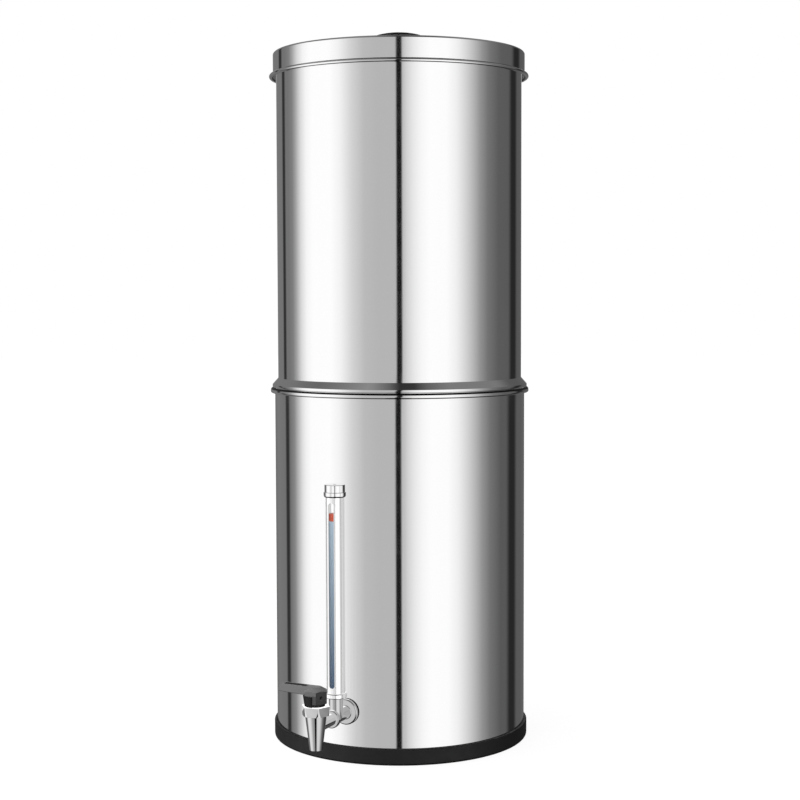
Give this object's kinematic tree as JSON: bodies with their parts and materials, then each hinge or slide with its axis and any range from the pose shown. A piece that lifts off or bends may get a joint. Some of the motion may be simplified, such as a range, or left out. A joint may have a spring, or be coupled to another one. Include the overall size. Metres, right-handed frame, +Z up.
{
  "type": "gravity water filter",
  "caption": "Polished steel gravity water filter: an upper chamber with filter elements nests on a lower chamber with a quarter-turn tap and a float sight gauge; lid with a black knob.",
  "frame": {"origin": "centre of the base ring's resting face, on the vessel's axis", "axes": "+Z up along the vessel's axis; the tap and the sight gauge stand out along -Y; the closed lever points to -X"},
  "size_m": [0.2276, 0.2936, 0.6189],
  "materials": {
    "vessel_steel": "mirror polished stainless sheet",
    "tap_chrome": "bright plated or polished metal",
    "fastener_steel": "turned steel",
    "black_rubber": "smooth black rubber",
    "black_plastic": "moulded, satin",
    "pale_silicone": "translucent silicone",
    "clear_tube": "clear tube",
    "float_red": "moulded, glossy",
    "valve_seat_white": "smooth white PTFE",
    "filter_block": "pressed carbon, fine grained",
    "filter_white": "moulded white plastic"
  },
  "bodies": {
    "lower_vessel": {"base_ring": "black_rubber", "lower_chamber": "vessel_steel", "tap_outer_washer": "black_rubber", "tap_inner_washer": "pale_silicone", "tap_nut": "fastener_steel", "gauge_tee": "tap_chrome", "tap_coupling_ring": "tap_chrome", "tap_body": "tap_chrome", "inlet_seat": "valve_seat_white", "outlet_seat": "valve_seat_white", "bonnet": "black_plastic", "bonnet_seal": "black_rubber", "spindle_seal": "black_rubber", "gauge_socket": "tap_chrome", "gauge_sleeve": "tap_chrome", "gauge_glass": "clear_tube", "gauge_lower_seal": "pale_silicone", "gauge_upper_seal": "pale_silicone", "gauge_cap": "tap_chrome"},
    "float": {"gauge_float": "float_red"},
    "handle": {"tap_lever": "black_plastic", "lever_screw": "fastener_steel", "spindle": "fastener_steel", "valve_ball": "fastener_steel"},
    "upper_vessel": {"upper_chamber": "vessel_steel", "filter_block_left": "filter_block", "filter_block_right": "filter_block", "filter_base_left": "filter_white", "filter_base_right": "filter_white", "filter_cap_left": "filter_white", "filter_cap_right": "filter_white", "filter_washer_left": "pale_silicone", "filter_washer_right": "pale_silicone", "wing_nut_left": "filter_white", "wing_nut_right": "filter_white"},
    "lid": {"lid_shell": "vessel_steel", "lid_knob": "black_plastic", "knob_washer": "pale_silicone", "knob_screw": "fastener_steel"}
  },
  "joints": [
    {"name": "handle_turn", "type": "hinge", "parent": "lower_vessel", "child": "handle", "pos_m": [0, -0.168, 0.05], "axis": [0, 0, 1], "range_deg": [0, 90]},
    {"name": "float_travel", "type": "slide", "parent": "lower_vessel", "child": "float", "axis": [0, 0, 1], "range_m": [-0.1409, 0.015]},
    {"name": "upper_lift", "type": "slide", "parent": "lower_vessel", "child": "upper_vessel", "axis": [0, 0, 1], "range_m": [0, 0.08]},
    {"name": "lid_lift", "type": "slide", "parent": "upper_vessel", "child": "lid", "axis": [0, 0, 1], "range_m": [0, 0.045]}
  ]
}
